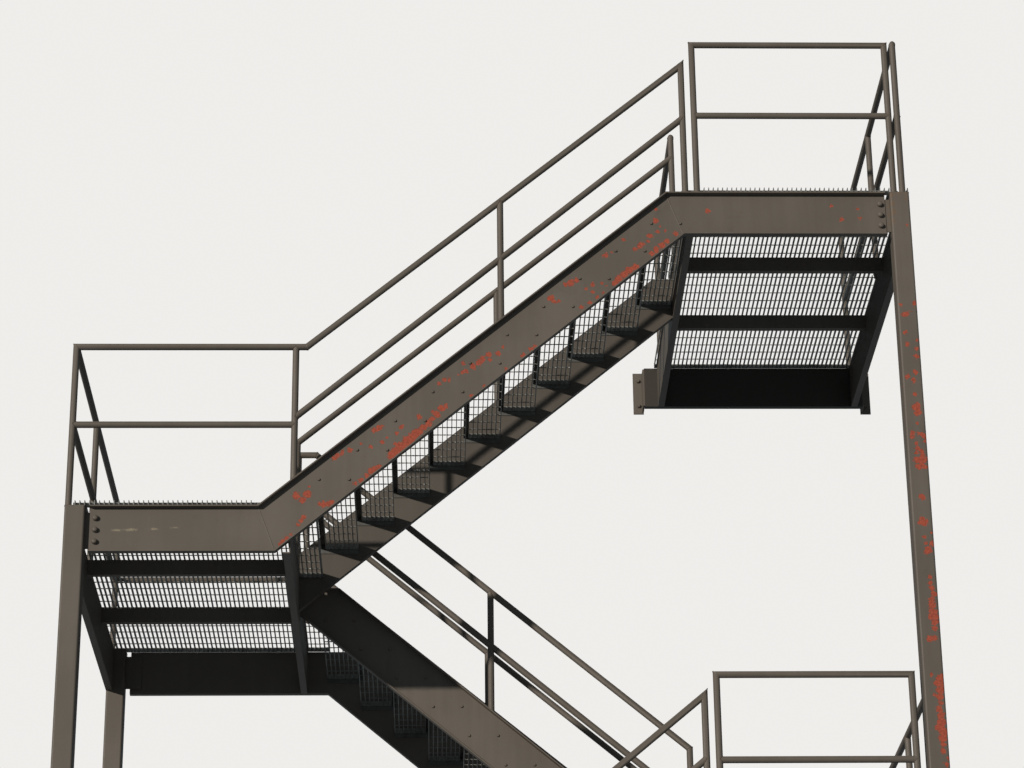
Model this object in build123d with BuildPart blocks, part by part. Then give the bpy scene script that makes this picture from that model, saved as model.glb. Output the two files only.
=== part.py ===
"""Fire escape stair tower: two storeys of switchback steel stair against a wall.

Millimetres, +Z up. X runs along the wall, Y runs into it, and the origin is on the
ground, under the middle of the base. Odd flights climb to the left in the lane beside
the wall, and even flights climb to the right in the outer lane.
"""
import math
import os

from build123d import *

# Stair
rise = 199.0
going = 236.0
risers = 11
flights = 4
tread_width = 248.0
first_tread = 466.0

# Lanes, measured between the tips of the stringers' flanges
lane_width = 1340.0
lane_gap = 150.0
wall_gap = 100.0

# Landings, measured from the knees of the outer stringer
left_landing = 1035.0
right_landing = 1430.0
rear_knee_shift = 461.0
left_edge_beam = 204.0
right_edge_beam = 128.0

# Channels of stringers and landing beams
channel_depth = 305.0
channel_flange = 45.0
channel_web = 6.0
channel_lip = 8.0
cross_beam_depth = 102.0
cross_beam_flange = 42.0
cross_beam_wall = 7.0

# Posts
post_size = 127.0
post_wall = 8.0
post_gap = 30.0
cap_thickness = 6.0
tab_thickness = 10.0
tab_lap = 80.0
tab_margin = 35.0
base_plate_size = 280.0
base_plate_thickness = 20.0
anchor_hole = 22.0
anchor_inset = 40.0

# Bar grating, with a solid bar at every second place of the real pitch
grating_depth = 32.0
bar_thickness = 5.0
bar_pitch = 30.2
bar_step = 2 * bar_pitch
nosing_width = 34.0
nosing_thickness = 5.0
nosing_lap = 17.0
carrier_depth = 64.0
carrier_thickness = 6.0

# Guards of round pipe, mitred at their corners
pipe_diameter = 42.0
pipe_sides = 12
guard_height = 1073.0
top_guard_height = 1100.0
mid_rail_drop = 536.0
stair_rail_height = 845.0
stair_mid_height = 447.0
stair_mid_low = 414.0
inner_rail_height = 825.0
rail_inset = 24.0
side_guard_inset = 40.0
newel_inset = 30.0
corner_inset = 37.0
side_post_shift = 150.0
middle_post = 1517.0
start_post = 216.0
upper_post = 205.0
cap_post_inset = 30.0
ground_newel = 250.0
level_return = 120.0

# Feet of the lowest flight
foot_thickness = 12.0
foot_overhang = 40.0

# Wall brackets
bracket_plate_height = 325.0
bracket_plate_width = 75.0
bracket_thickness = 12.0
bracket_rise = 8.0
bracket_inset = 180.0
beam_overrun_left = 96.0
beam_overrun_right = 41.0

# Clearances
fitting_gap = 5.0
post_notch = 54.0

# Places worked out from the sizes above
flight_rise = rise * risers
flight_run = going * risers
slope = math.atan2(rise, going)
plumb_depth = channel_depth / math.cos(slope)
slope_ratio = rise / going

tower_left = -(left_landing + post_gap + post_size)
tower_right = flight_run + right_landing + post_gap + post_size
base_overhang = (base_plate_size - post_size) / 2
bracket_overhang = beam_overrun_right + bracket_plate_width
wall_y = 2 * lane_width + lane_gap + wall_gap
middle_x = (tower_left - base_overhang + tower_right + bracket_overhang) / 2
middle_y = (wall_y - base_overhang) / 2

x_shift = -middle_x
y_shift = -middle_y
front_knee_low = x_shift
front_knee_high = x_shift + flight_run
rear_knee_high = x_shift + rear_knee_shift
rear_knee_low = rear_knee_high + flight_run
left_end = front_knee_low - left_landing
right_end = front_knee_high + right_landing
left_beam_face = front_knee_low + left_edge_beam
right_beam_face = front_knee_high + right_edge_beam
post_left_x = x_shift + tower_left
post_right_x = x_shift + tower_right

front_toe = y_shift
lane_1_inner_toe = front_toe + lane_width
lane_2_inner_toe = lane_1_inner_toe + lane_gap
rear_toe = lane_2_inner_toe + lane_width
wall_face = rear_toe + wall_gap

rail_radius = pipe_diameter / 2
front_rail_y = front_toe + rail_inset
lane_1_rail_y = lane_1_inner_toe - rail_inset
lane_2_rail_y = lane_2_inner_toe + rail_inset
rear_rail_y = rear_toe - rail_inset

floor_1, floor_2, floor_3, floor_4 = [flight_rise * n for n in (1, 2, 3, 4)]
rail_above_steel = grating_depth + guard_height - rail_radius
mid_above_steel = rail_above_steel - mid_rail_drop


def steel(floor):
    """Level of the top of the beams that carry a floor."""
    return floor - grating_depth


def upright_plane(y):
    """Plane across Y whose local axes are X and Z, facing the viewer."""
    return Plane(origin=(0, y, 0), x_dir=(1, 0, 0), z_dir=(0, -1, 0))


def profile_plane(x):
    """Plane across X whose local axes are Y and Z, facing +X."""
    return Plane(origin=(x, 0, 0), x_dir=(0, 1, 0), z_dir=(1, 0, 0))


def slab(corners, y_from, y_to):
    """Add an upright plate with the given outline in X and Z, between two Y levels."""
    with BuildSketch(upright_plane(y_from)) as outline:
        with BuildLine():
            Polyline(*corners, close=True)
        make_face()
    extrude(outline.sketch, amount=y_from - y_to)


def block(x_from, x_to, y_from, y_to, z_from, z_to):
    """Add a rectangular bar or plate between the given levels."""
    with Locations(((x_from + x_to) / 2, (y_from + y_to) / 2, (z_from + z_to) / 2)):
        Box(abs(x_to - x_from), abs(y_to - y_from), abs(z_to - z_from))


def channel_outline(toe, depth, flange, web, lip):
    """Corners of a channel whose web starts at 0 and whose flanges point along toe."""
    return [
        (0, 0),
        (toe * flange, 0),
        (toe * flange, -lip),
        (toe * web, -lip),
        (toe * web, lip - depth),
        (toe * flange, lip - depth),
        (toe * flange, -depth),
        (0, -depth),
    ]


def channel_along_x(x_from, x_to, y_back, toe, z_top, depth, flange, web, lip):
    """Add a level channel along X. Its back is at y_back and its flanges point along toe."""
    with BuildSketch(profile_plane(x_from)) as section:
        with BuildLine():
            Polyline(*[(y_back + y, z_top + z)
                       for y, z in channel_outline(toe, depth, flange, web, lip)], close=True)
        make_face()
    extrude(section.sketch, amount=x_to - x_from)


def channel_along_y(y_from, y_to, x_back, toe, z_top, depth, flange, web, lip):
    """Add a level channel along Y. Its back is at x_back and its flanges point along toe."""
    with BuildSketch(upright_plane(y_from)) as section:
        with BuildLine():
            Polyline(*[(x_back + x, z_top + z)
                       for x, z in channel_outline(toe, depth, flange, web, lip)], close=True)
        make_face()
    extrude(section.sketch, amount=y_from - y_to)


def stringer_channel(top_line, bottom_line, toe_y, toe):
    """Add a channel bent to a pair of lines: a web plate with a flange along each line.

    The lines run from left to right. The flanges' tips are at toe_y and point along toe.
    """
    back_y = toe_y - toe * channel_flange
    slab(top_line + bottom_line[::-1], back_y, back_y + toe * channel_web)
    slab(top_line + lowered(top_line, channel_lip)[::-1], back_y, toe_y)
    slab(lowered(bottom_line, -channel_lip) + bottom_line[::-1], back_y, toe_y)


def lowered(line, drop):
    """The same line moved down, square to each stretch, with its bends kept on the mitre."""
    moved = []
    for index, (x, z) in enumerate(line):
        before = line[max(index - 1, 0)]
        after = line[min(index + 1, len(line) - 1)]
        turn_in = math.atan2(z - before[1], x - before[0]) if index > 0 else None
        turn_out = math.atan2(after[1] - z, after[0] - x) if index < len(line) - 1 else None
        if turn_in is None or turn_out is None:
            direction = turn_out if turn_in is None else turn_in
            moved.append((x, z - drop / math.cos(direction)))
        else:
            middle = (turn_in + turn_out) / 2
            reach = drop / math.cos((turn_in - turn_out) / 2)
            moved.append((x + reach * math.sin(middle), z - reach * math.cos(middle)))
    return moved


def pipe(points):
    """Add a round pipe along a polyline in one upright plane, mitred at its corners."""
    runs_along_x = all(point[1] == points[0][1] for point in points)
    across = (0, 1, 0) if runs_along_x else (1, 0, 0)
    with BuildLine() as route:
        Polyline(*points)
    along = Vector(*points[1]) - Vector(*points[0])
    with BuildSketch(Plane(origin=points[0], x_dir=across, z_dir=along)) as section:
        RegularPolygon(rail_radius, pipe_sides)
    sweep(section.sketch, path=route.wires()[0], transition=Transition.RIGHT)


def post_pipe(x, y, z_from, z_to):
    """Add an upright pipe."""
    pipe([(x, y, z_from), (x, y, z_to)])


def flight_line(x_knee, direction, floor):
    """Top line of a stringer as a function of X: level floor at the knee, then the slope."""
    return lambda x: steel(floor) + (x - x_knee) * direction * slope_ratio


def front_line(floor_low):
    """Top line of an outer-lane stringer from its lower knee."""
    return flight_line(front_knee_low, 1, floor_low)


def rear_line(floor_low):
    """Top line of a wall-lane stringer from its lower knee."""
    return flight_line(rear_knee_low, -1, floor_low)


def front_treads_x(index):
    """Middle of a tread of an outer-lane flight, counted from 1 at the bottom."""
    return front_knee_low + first_tread + going * (index - 1)


def rear_treads_x(index):
    """Middle of a tread of a wall-lane flight, counted from 1 at the bottom."""
    return rear_knee_low - first_tread - going * (index - 1)


left_floor_edge = front_treads_x(1) - tread_width / 2 + nosing_lap
right_floor_edge = front_treads_x(risers) - tread_width / 2


def bar_gaps(x_from, x_to, bars_from):
    """Clear stretches between the bars of the grid, inside a bar at each end."""
    count = math.ceil((x_to - bars_from) / bar_step)
    bars = [bars_from + bar_step * n for n in range(count)]
    bars = [bar for bar in bars if x_from + bar_thickness < bar < x_to - 2 * bar_thickness]
    starts = [x_from + bar_thickness] + [bar + bar_thickness for bar in bars]
    ends = bars + [x_to - bar_thickness]
    return [(start, end) for start, end in zip(starts, ends) if end - start > bar_thickness]


def slotted(panels, bars_from, holes=(), free_ends=None):
    """Sketch of bar grating seen from above, with bearing bars along Y on one common grid.

    Each panel is (x_from, x_to, y_from, y_to) and is banded all round. The grid of bars
    starts at bars_from. Each hole is (x, y, width, depth) and leaves room for a post.
    The bars of the free_ends panel run on from the panel behind it and have no band.
    """
    fields = [(x_from, x_to, y_from, y_to, y_from + bar_thickness, y_to - bar_thickness)
              for x_from, x_to, y_from, y_to in panels]
    if free_ends:
        fields.append((*free_ends, free_ends[2] - bar_thickness, free_ends[3]))
    with BuildSketch() as plan:
        for x_from, x_to, y_from, y_to, slot_from, slot_to in fields:
            with Locations(((x_from + x_to) / 2, (y_from + y_to) / 2)):
                Rectangle(x_to - x_from, y_to - y_from)
        for x_from, x_to, y_from, y_to, slot_from, slot_to in fields:
            for start, end in bar_gaps(x_from, x_to, bars_from):
                with Locations(((start + end) / 2, (slot_from + slot_to) / 2)):
                    Rectangle(end - start, slot_to - slot_from, mode=Mode.SUBTRACT)
        for x, y, width, depth in holes:
            with Locations((x, y)):
                Rectangle(width, depth, mode=Mode.SUBTRACT)
    return plan.sketch


def build_treads(name, x_of, side, floor_low, clear):
    """Ten grating treads. side is +1 where the nosing faces +X."""
    length = clear[1] - clear[0]
    bars = int((tread_width - nosing_width) // bar_pitch)
    back = -side * tread_width / 2
    grate_width = bars * bar_pitch + bar_thickness
    grate = sorted((back, back + side * grate_width))
    with BuildPart() as tread:
        plan = slotted([(grate[0], grate[1], carrier_thickness, length - carrier_thickness)],
                       grate[0])
        extrude(plan, amount=-grating_depth)
        nose = side * tread_width / 2
        block(nose, grate[1] if side > 0 else grate[0], carrier_thickness,
              length - carrier_thickness, -nosing_thickness, 0)
        block(nose, nose - side * nosing_thickness, carrier_thickness,
              length - carrier_thickness, -grating_depth, 0)
        for y_plate in (0, length - carrier_thickness):
            block(back, nose, y_plate, y_plate + carrier_thickness, -carrier_depth, 0)
    with BuildPart() as treads:
        with Locations(*[(x_of(n), clear[0], floor_low + rise * n) for n in range(1, risers)]):
            add(tread.part)
    save(treads, name)


def save(node, name):
    """Label a finished piece and write it."""
    node.part.label = name
    export_step(node.part, f"parts/{name}.step")


os.makedirs("parts", exist_ok=True)


# Posts
def build_post(name, x_from, y_from, top, tab_levels, tab_side, tab_y):
    """Square tube with a base plate, a cap, and shear tabs for the fascias that meet it."""
    x_mid = x_from + post_size / 2
    y_mid = y_from + post_size / 2
    with BuildPart() as post:
        with BuildSketch(Plane.XY.offset(base_plate_thickness)) as tube:
            with Locations((x_mid, y_mid)):
                Rectangle(post_size, post_size)
                Rectangle(post_size - 2 * post_wall, post_size - 2 * post_wall,
                          mode=Mode.SUBTRACT)
        extrude(tube.sketch, amount=top - cap_thickness - base_plate_thickness)
        block(x_from, x_from + post_size, y_from, y_from + post_size, top - cap_thickness, top)
        with BuildSketch(Plane.XY) as plate:
            with Locations((x_mid, y_mid)):
                Rectangle(base_plate_size, base_plate_size)
                with GridLocations(base_plate_size - 2 * anchor_inset,
                                   base_plate_size - 2 * anchor_inset, 2, 2):
                    Circle(anchor_hole / 2, mode=Mode.SUBTRACT)
        extrude(plate.sketch, amount=base_plate_thickness)
        tab_start = x_from + post_size if tab_side > 0 else x_from
        tab_reach = tab_side * (post_gap + tab_lap)
        for level in tab_levels:
            block(tab_start, tab_start + tab_reach, tab_y, tab_y + tab_thickness,
                  steel(level) - channel_depth + tab_margin, steel(level) - tab_margin)
    save(post, name)


front_web_back = front_toe + channel_flange
rear_web_back = rear_toe - channel_flange
build_post("front_left_post", post_left_x, front_toe, steel(floor_3),
           (floor_1, floor_3), 1, front_web_back)
build_post("rear_left_post", post_left_x, rear_toe - post_size, steel(floor_3),
           (floor_1, floor_3), 1, rear_web_back - tab_thickness)
build_post("front_right_post", post_right_x - post_size, front_toe, steel(floor_4),
           (floor_2, floor_4), -1, front_web_back)


# Outer stringers, each mitred into the front fascias of the two landings it joins
def front_dogleg(floor_low):
    """Top line of an outer stringer with the fascias at both of its ends."""
    low, high = steel(floor_low), steel(floor_low + flight_rise)
    return [(left_end, low), (front_knee_low, low), (front_knee_high, high), (right_end, high)]


def rear_dogleg(floor_low):
    """Top line of a wall-side stringer with the rear beams at both of its ends."""
    low, high = steel(floor_low), steel(floor_low + flight_rise)
    return [(left_end, high), (rear_knee_high, high), (rear_knee_low, low), (post_right_x, low)]


for number, floor_low in ((2, floor_1), (4, floor_3)):
    with BuildPart() as outer_stringer:
        line = front_dogleg(floor_low)
        stringer_channel(line, lowered(line, channel_depth), front_toe, -1)
    save(outer_stringer, f"flight_{number}_outer_stringer")

with BuildPart() as wall_stringer_3:
    line = rear_dogleg(floor_2)
    stringer_channel(line, lowered(line, channel_depth), rear_toe, 1)
save(wall_stringer_3, "flight_3_wall_stringer")

# The lowest flight stands on the ground, its stringers cut level there
ground_steel = steel(0.0)
ground_top_x = rear_knee_low - (foot_thickness - ground_steel) / slope_ratio
ground_bottom_x = ground_top_x - plumb_depth / slope_ratio


def ground_cut(start_x, start_z, toe_y, toe, bend):
    """Add a stringer that runs down to the ground from the given upper end."""
    high = steel(floor_1)
    top = [(start_x, high), (rear_knee_high, high), (ground_top_x, foot_thickness)]
    straight_low = (ground_bottom_x, foot_thickness)
    if bend:
        bottom = lowered(rear_dogleg(0.0), channel_depth)[:2] + [straight_low]
    else:
        bottom = [(start_x, start_z), straight_low]
    back_y = toe_y - toe * channel_flange
    slab(top + bottom[::-1], back_y, back_y + toe * channel_web)
    upper = top + [(ground_top_x - channel_lip / math.sin(slope), foot_thickness)]
    upper += lowered(rear_dogleg(0.0), channel_lip)[1::-1] if bend else \
        [(rear_knee_high - channel_lip * math.tan(slope / 2), high - channel_lip),
         (start_x, high - channel_lip)]
    slab(upper, back_y, toe_y)
    lower = bottom + [(ground_bottom_x + channel_lip / math.sin(slope), foot_thickness)]
    lower += lowered(rear_dogleg(0.0), channel_depth - channel_lip)[1::-1] if bend else \
        [(start_x, start_z + channel_lip / math.cos(slope))]
    slab(lower, back_y, toe_y)
    block(ground_bottom_x - foot_overhang, ground_top_x + foot_overhang, back_y, toe_y,
          0.0, foot_thickness)


inner_low_z = steel(floor_1) - plumb_depth + (rear_knee_high - left_beam_face) * slope_ratio
with BuildPart() as wall_stringer_1:
    ground_cut(left_end, 0.0, rear_toe, 1, True)
save(wall_stringer_1, "flight_1_wall_stringer")

with BuildPart() as inner_stringer_1:
    ground_cut(left_beam_face, inner_low_z, lane_2_inner_toe, -1, False)
save(inner_stringer_1, "flight_1_inner_stringer")


# Inner stringers run between the edge beams, level on top where they carry a floor
def inner_stringer_lines(floor_low, x_knee_low, x_knee_high, low_face, high_face):
    """Top and bottom lines of an inner stringer between the two beam faces it seats on."""
    low, high = steel(floor_low), steel(floor_low + flight_rise)
    direction = 1 if x_knee_high > x_knee_low else -1
    low_z = low + (low_face - x_knee_low) * direction * slope_ratio
    top = [(low_face, low_z), (x_knee_high, high), (high_face, high)]
    low_bottom = low_z - plumb_depth
    high_bottom = high - plumb_depth + (high_face - x_knee_high) * direction * slope_ratio
    bottom = [(low_face, low_bottom), (high_face, high_bottom)]
    if direction < 0:
        top, bottom = top[::-1], bottom[::-1]
    return top, bottom


for number, floor_low in ((2, floor_1), (4, floor_3)):
    with BuildPart() as inner_stringer:
        top, bottom = inner_stringer_lines(floor_low, front_knee_low, front_knee_high,
                                           left_beam_face, right_beam_face)
        stringer_channel(top, bottom, lane_1_inner_toe, 1)
    save(inner_stringer, f"flight_{number}_inner_stringer")

with BuildPart() as inner_stringer_3:
    top, bottom = inner_stringer_lines(floor_2, rear_knee_low, rear_knee_high,
                                       right_beam_face, left_beam_face)
    stringer_channel(top, bottom, lane_2_inner_toe, -1)
save(inner_stringer_3, "flight_3_inner_stringer")

# Treads, one bolted between the stringers' webs at each rise
lane_1_clear = (front_toe + channel_flange, lane_1_inner_toe - channel_flange)
lane_2_clear = (lane_2_inner_toe + channel_flange, rear_toe - channel_flange)
for number in (1, 3):
    build_treads(f"flight_{number}_treads", rear_treads_x, 1, flight_rise * (number - 1),
                 lane_2_clear)
for number in (2, 4):
    build_treads(f"flight_{number}_treads", front_treads_x, -1, flight_rise * (number - 1),
                 lane_1_clear)


# Landing frames: side beam, edge beam and two cross beams
beam_sizes = (channel_depth, channel_flange, channel_web, channel_lip)
cross_sizes = (cross_beam_depth, cross_beam_flange, cross_beam_wall, cross_beam_wall)
cross_rows = [lane_1_clear[0] + n * (lane_2_clear[1] - lane_1_clear[0]) / 3 for n in (1, 2)]


def landing_frame(name, side, floor):
    """side is -1 for a left landing and +1 for a right one."""
    level = steel(floor)
    outer_face = post_left_x if side < 0 else post_right_x
    side_back = outer_face - side * channel_flange
    edge_back = left_beam_face if side < 0 else right_beam_face
    side_front = front_toe + post_size
    side_rear = rear_toe - post_size if side < 0 else rear_web_back
    with BuildPart() as frame:
        channel_along_y(side_front, side_rear, side_back, side, level, *beam_sizes)
        channel_along_y(front_web_back, rear_web_back, edge_back, side, level, *beam_sizes)
        span = sorted((side_back, edge_back + side * channel_web))
        for row in cross_rows:
            channel_along_x(*span, row, 1, level, *cross_sizes)
    save(frame, name)


for number, side, floor in ((1, -1, floor_1), (2, 1, floor_2), (3, -1, floor_3),
                            (4, 1, floor_4)):
    landing_frame(f"landing_{number}_frame", side, floor)


# Places of the guards' uprights
left_newel_x = left_beam_face - newel_inset
right_newel_x = right_beam_face + newel_inset
upper_post_x = front_knee_high + upper_post
left_guard_x = post_left_x + rail_radius
left_corner_x = left_end + corner_inset
right_guard_x = post_right_x - side_guard_inset
right_corner_x = right_end - corner_inset
right_cap_x = post_right_x - post_size + cap_post_inset
middle_post_y = (front_toe + rear_toe) / 2 - side_post_shift


# Landing gratings lie on the beams and leave room for the posts that rise past them
def landing_grating(name, side, floor, post_rises):
    """One panel with free bar ends over the fascia, and a lip at each flight."""
    edge = left_floor_edge if side < 0 else right_floor_edge
    face = left_beam_face if side < 0 else right_beam_face
    outer = post_left_x if side < 0 else post_right_x
    x_low, x_high = min(face, outer), max(face, outer)
    if side < 0:
        strip = (x_low, front_knee_low - corner_inset)
    else:
        strip = (upper_post_x + post_notch / 2, x_high)
    panels = [(x_low, x_high, front_web_back, rear_web_back - fitting_gap)]
    lip = sorted((face, edge))
    for clear in (lane_1_clear, lane_2_clear):
        panels.append((*lip, clear[0] + fitting_gap, clear[1] - fitting_gap))
    if side < 0:
        newel_x, guard_x = left_newel_x, left_guard_x
        corner_x = left_corner_x if post_rises else left_guard_x
    else:
        newel_x, guard_x = right_newel_x, right_guard_x
        corner_x = right_corner_x if post_rises else right_cap_x
    uprights = [(newel_x, lane_1_rail_y), (newel_x, lane_2_rail_y),
                (guard_x, middle_post_y), (corner_x, front_rail_y)]
    if side > 0 and not post_rises:
        uprights.append((guard_x, front_rail_y))
    holes = [(x, y, post_notch, post_notch) for x, y in uprights]
    if post_rises:
        post_x = outer - side * post_size / 2
        room = post_size + 2 * fitting_gap
        holes.append((post_x, front_toe + post_size / 2, room, room))
        if side < 0:
            holes.append((post_x, rear_toe - post_size / 2, room, room))
    with BuildPart() as grating:
        plan = slotted(panels, x_low, holes, (*strip, front_toe + fitting_gap, front_web_back))
        whole = plan.faces().sort_by(SortBy.AREA)[-1]
        extrude(whole.moved(Location((0, 0, floor))), amount=grating_depth, dir=(0, 0, -1))
    save(grating, name)


landing_grating("landing_1_grating", -1, floor_1, True)
landing_grating("landing_2_grating", 1, floor_2, True)
landing_grating("landing_3_grating", -1, floor_3, False)
landing_grating("landing_4_grating", 1, floor_4, False)


# Stair guards
def slope_plane(line):
    """Plane on top of a stringer's sloped flange, facing up."""
    z_start = line(0.0)
    run = Vector(1, 0, line(1.0) - z_start).normalized()
    return Plane(origin=(0, 0, z_start), x_dir=run, z_dir=run.cross(Vector(0, -1, 0)) * -1)


def posts_on_slope(line, places, y, rail_height):
    """Add uprights from the sloped flange up to the rail, cut to the slope at their feet."""
    for x in places:
        post_pipe(x, y, line(x) - pipe_diameter, line(x) + rail_height)
    split(bisect_by=slope_plane(line), keep=Keep.TOP)


def running_guard(name, line, y, corner_x, level, first_x, middle_x, foot_x, foot_level=None):
    """Guard of a landing's long side that runs on along the stair in one bent rail.

    The level part starts at corner_x on the steel at level, and the stair posts are at
    first_x and middle_x. The far newel at foot_x stands on foot_level, or on the slope
    without one.
    """
    rail = level + rail_above_steel
    along = 1 if foot_x > first_x else -1
    to_elbow = abs(rail - stair_rail_height - line(first_x)) / slope_ratio
    elbow_x = first_x + along * to_elbow
    sloped = [middle_x]
    if line(first_x) > level + pipe_diameter and along > 0:
        sloped.append(first_x)
    if foot_level is None:
        sloped.append(foot_x)
        foot_level = line(foot_x) + stair_mid_height
    with BuildPart() as guard:
        posts_on_slope(line, sloped, y, stair_rail_height)
        first_foot = line(first_x) + stair_mid_height if first_x in sloped else level
        post_pipe(first_x, y, first_foot, rail)
        pipe([(corner_x, y, level), (corner_x, y, rail), (elbow_x, y, rail),
              (foot_x, y, line(foot_x) + stair_rail_height), (foot_x, y, foot_level)])
        pipe([(corner_x, y, level + mid_above_steel), (first_x, y, level + mid_above_steel)])
        heights = (stair_mid_low, stair_mid_height) if along > 0 else \
            (stair_mid_height, stair_mid_low)
        pipe([(first_x, y, line(first_x) + heights[0]), (foot_x, y, line(foot_x) + heights[1])])
    save(guard, name)


def inner_guard(name, line, y, low_x, low_level, middle_x, high_x, high_level):
    """Guard between the lanes, with a short level return at its upper newel.

    Without a low level its lower newel stands on the slope. Without a high level it runs
    straight on to the newel of a landing guard.
    """
    along = 1 if high_x > low_x else -1
    sloped = [middle_x]
    if low_level is None:
        sloped.append(low_x)
        low_level = line(low_x) + stair_mid_height
    top = [(low_x, y, low_level), (low_x, y, line(low_x) + inner_rail_height)]
    if high_level is None:
        top.append((high_x, y, line(high_x) + inner_rail_height))
    else:
        return_x = high_x - along * level_return
        return_z = line(return_x) + inner_rail_height
        top += [(return_x, y, return_z), (high_x, y, return_z), (high_x, y, high_level)]
    with BuildPart() as guard:
        posts_on_slope(line, sloped, y, inner_rail_height)
        pipe(top)
        pipe([(low_x, y, line(low_x) + stair_mid_height),
              (high_x, y, line(high_x) + stair_mid_height)])
        if high_level is None:
            end = Plane(origin=(high_x - along * rail_radius, 0, 0), z_dir=(-along, 0, 0))
            split(bisect_by=end, keep=Keep.TOP)
    save(guard, name)


middle_x = front_knee_low + middle_post
for number, floor_low, corner_x in ((2, floor_1, left_corner_x), (4, floor_3, left_guard_x)):
    line = front_line(floor_low)
    high = steel(floor_low + flight_rise)
    running_guard(f"flight_{number}_outer_guard", line, front_rail_y, corner_x,
                  steel(floor_low), front_knee_low + start_post, middle_x,
                  right_beam_face, high)
    inner_guard(f"flight_{number}_inner_guard", line, lane_1_rail_y, left_newel_x,
                steel(floor_low), middle_x, right_newel_x, None if number == flights else high)

ground_newel_x = rear_knee_low - ground_newel
rear_elbow_x = rear_knee_high - (rail_above_steel - stair_rail_height) / slope_ratio
for number, floor_low, low_x, corner_x in ((1, 0.0, ground_newel_x, left_corner_x),
                                           (3, floor_2, right_newel_x, left_guard_x)):
    line = rear_line(floor_low)
    high = steel(floor_low + flight_rise)
    running_guard(f"flight_{number}_wall_guard", line, rear_rail_y, corner_x, high,
                  rear_elbow_x, (rear_elbow_x + low_x) / 2, low_x)
    inner_guard(f"flight_{number}_inner_guard", line, lane_2_rail_y, low_x,
                None if number == 1 else steel(floor_low), (low_x + left_newel_x) / 2,
                left_newel_x, high)


# Landing guards
def hoop(name, start, end, level, ends_on=(False, False), middle_y=None,
         height=guard_height):
    """Guard panel between two plan points: top rail, mid rail and uprights.

    An end that is fixed on another piece has no upright of its own.
    """
    top = level + grating_depth + height - rail_radius
    route = [(*start, top), (*end, top)]
    if not ends_on[0]:
        route.insert(0, (*start, level))
    if not ends_on[1]:
        route.append((*end, level))
    with BuildPart() as guard:
        pipe(route)
        pipe([(*start, top - mid_rail_drop), (*end, top - mid_rail_drop)])
        if middle_y is not None:
            post_pipe(start[0], middle_y, level, top)
    save(guard, name)


hoop("landing_1_side_guard", (left_guard_x, front_toe + post_size),
     (left_guard_x, rear_toe - post_size), steel(floor_1), (True, True), middle_post_y)
hoop("landing_3_side_guard", (left_guard_x, front_rail_y + rail_radius),
     (left_guard_x, rear_rail_y - rail_radius), steel(floor_3), (True, True), middle_post_y)
hoop("landing_2_front_guard", (upper_post_x, front_rail_y),
     (right_corner_x, front_rail_y), steel(floor_2))
hoop("landing_2_side_guard", (right_guard_x, front_toe + post_size),
     (right_guard_x, rear_rail_y), steel(floor_2), (True, False), middle_post_y)
hoop("landing_4_front_guard", (upper_post_x, front_rail_y),
     (right_cap_x, front_rail_y), steel(floor_4), height=top_guard_height)
hoop("landing_4_side_guard", (right_guard_x, front_rail_y),
     (right_guard_x, rear_rail_y), steel(floor_4), middle_y=middle_post_y,
     height=top_guard_height)
hoop("landing_4_left_guard", (right_newel_x, lane_1_rail_y),
     (right_newel_x, rear_rail_y), steel(floor_4), height=top_guard_height)

# The top landing's rear beam, and the brackets that fix the right landings to the wall
rear_beam_left = right_beam_face - beam_overrun_left
rear_beam_right = post_right_x + beam_overrun_right
with BuildPart() as rear_beam_4:
    channel_along_x(rear_beam_left, rear_beam_right, rear_web_back, 1, steel(floor_4),
                    *beam_sizes)
save(rear_beam_4, "landing_4_rear_beam")


def wall_brackets(name, level, angles):
    """Steel angles that tie the rear beam to the wall. Each one is (x, side, y_from).

    One leg starts at y_from, with its face at x, and the other leg lies on the wall and
    points along side.
    """
    z_top = level - channel_lip
    z_low = level - channel_depth + channel_lip
    z_mid = level - channel_depth / 2 + bracket_rise
    plate_y = wall_face - bracket_thickness
    with BuildPart() as brackets:
        for x, side, y_from in angles:
            block(x, x + side * bracket_thickness, y_from, plate_y, z_low, z_top)
            block(x, x + side * bracket_plate_width, plate_y, wall_face,
                  z_mid - bracket_plate_height / 2, z_mid + bracket_plate_height / 2)
    save(brackets, name)


wall_brackets("landing_4_wall_brackets", steel(floor_4),
              ((rear_beam_left, -1, rear_web_back), (rear_beam_right, 1, rear_web_back)))
wall_brackets("landing_2_wall_brackets", steel(floor_2),
              ((rear_knee_low + bracket_inset, -1, rear_web_back + channel_web),
               (post_right_x - bracket_inset, 1, rear_web_back + channel_web)))
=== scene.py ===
"""Looks of the fire escape stair tower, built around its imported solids.

Metres, in the solids' own frame: X along the wall, Y into it, +Z up. The stringers, beams
and wall brackets keep their solids under weathered paint. Posts, guards, treads, gratings,
bolts and weld beads are worked out here as numpy surfaces.
"""

import itertools
import math
from types import SimpleNamespace

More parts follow.
